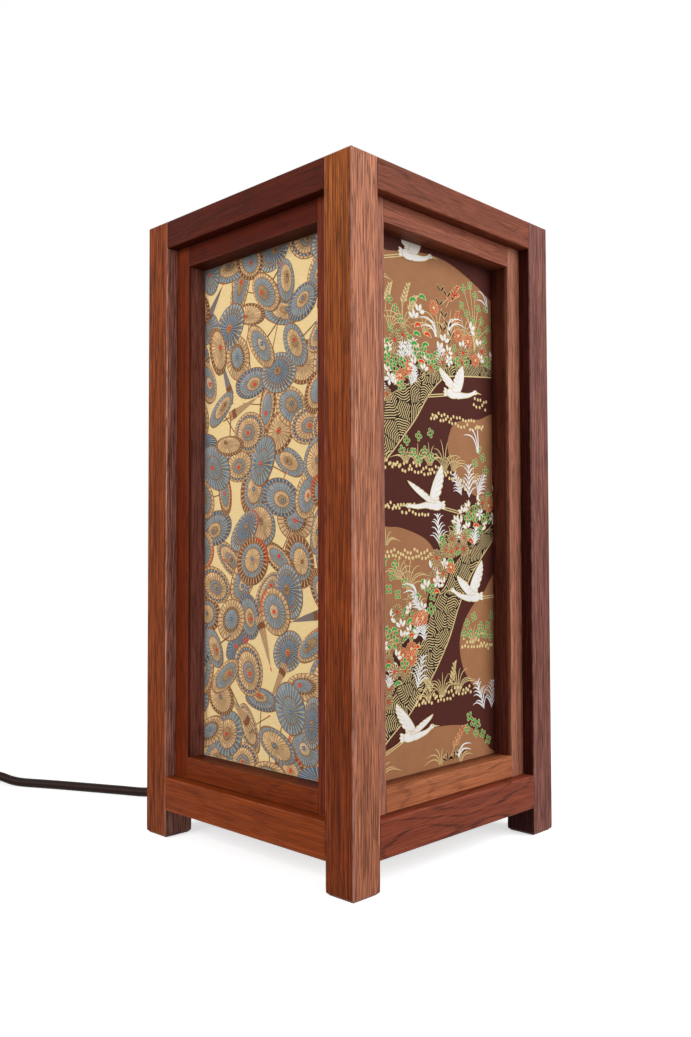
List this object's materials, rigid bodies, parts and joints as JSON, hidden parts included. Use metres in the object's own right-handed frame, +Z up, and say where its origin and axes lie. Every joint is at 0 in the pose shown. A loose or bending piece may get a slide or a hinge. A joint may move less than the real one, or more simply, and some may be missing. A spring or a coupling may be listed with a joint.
{
  "type": "table lamp",
  "caption": "Square wooden lantern table lamp with patterned paper panels in a dark post-and-rail frame, a screw-in bulb and a brown cord with a hand switch.",
  "frame": {"origin": "centre of the lantern's square plan, on the table under its feet", "axes": "+Z up; the front faces -Y, the right side +X; the cord leaves through the left side, -X"},
  "size_m": [0.4224, 0.3007, 0.36],
  "materials": {
    "post_wood": "satin, oiled dark red-brown",
    "rail_wood": "satin, oiled dark red-brown",
    "inner_wood": "satin, oiled dark red-brown",
    "board_wood": "plain unfinished plywood",
    "cream_paper": "printed umbrella pattern on cream",
    "plum_paper": "printed crane and stream pattern on dark plum",
    "milky_pane": "translucent milky sheet",
    "brass": "bright",
    "holder_plastic": "dark brown moulded",
    "bulb_diffuser": "frosted white",
    "bulb_plastic": "white",
    "light_board": "white coated",
    "plated_cap": "nickel plated",
    "cap_insulator": "black",
    "bush_rubber": "dark brown",
    "clamp_plastic": "ivory",
    "cord_sheath": "dark brown flexible",
    "wire_insulation": "ivory flexible",
    "tie_strap": "black flexible",
    "switch_plastic": "dark brown moulded",
    "rocker_plastic": "brown moulded"
  },
  "bodies": {
    "lamp": {"post_front_left": "post_wood", "post_front_right": "post_wood", "post_back_right": "post_wood", "post_back_left": "post_wood", "top_rail_front": "rail_wood", "top_rail_right": "rail_wood", "top_rail_back": "rail_wood", "top_rail_left": "rail_wood", "bottom_rail_front": "rail_wood", "bottom_rail_right": "rail_wood", "bottom_rail_back": "rail_wood", "bottom_rail_left": "rail_wood", "inner_stiles_front": "inner_wood", "inner_stiles_right": "inner_wood", "inner_stiles_back": "inner_wood", "inner_stiles_left": "inner_wood", "inner_rails_front": "inner_wood", "inner_rails_right": "inner_wood", "inner_rails_back": "inner_wood", "inner_rails_left": "inner_wood", "paper_front": "cream_paper", "paper_right": "plum_paper", "paper_back": "cream_paper", "paper_left": "plum_paper", "pane_front": "milky_pane", "pane_right": "milky_pane", "pane_back": "milky_pane", "pane_left": "milky_pane", "pane_beads": "inner_wood", "bead_pins": "brass", "base_board": "board_wood", "board_cleats": "board_wood", "wood_screws": "brass", "holder_body": "holder_plastic", "holder_screw_shell": "brass", "holder_contact": "brass", "holder_terminals": "brass", "cord_bush": "bush_rubber", "cord_clamp": "clamp_plastic", "cord_inside": "cord_sheath", "lead_wires": "wire_insulation", "cord_lead": "cord_sheath", "cord_middle": "cord_sheath", "cord_coil": "cord_sheath", "cord_tail": "cord_sheath", "coil_tie": "tie_strap", "switch_lower": "switch_plastic", "switch_upper": "switch_plastic", "switch_contacts": "brass", "switch_screws": "brass", "plug_body": "switch_plastic", "plug_blades": "plated_cap"},
    "bulb_contact": {"bulb_contact_tip": "plated_cap"},
    "bulb": {"bulb_dome": "bulb_diffuser", "bulb_housing": "bulb_plastic", "bulb_light_board": "light_board", "bulb_screw_cap": "plated_cap", "bulb_insulator": "cap_insulator"},
    "rocker": {"switch_rocker": "rocker_plastic"}
  },
  "joints": [
    {"name": "bulb_lift", "type": "slide", "parent": "lamp", "child": "bulb_contact", "axis": [0, 0, 1], "range_m": [0, 0.01815]},
    {"name": "bulb_turn", "type": "hinge", "parent": "bulb_contact", "child": "bulb", "pos_m": [0, 0, 0.054], "axis": [0, 0, 1], "range_deg": [0, 1800]},
    {"name": "rocker_tilt", "type": "hinge", "parent": "lamp", "child": "rocker", "pos_m": [-0.292, -0.112, 0.011], "axis": [0.5, -0.866, 0], "range_deg": [0, 16]}
  ],
  "couplings": [
    {"joint": "bulb_lift", "follows": "bulb_turn", "m_per_rad": 0.00057757}
  ]
}
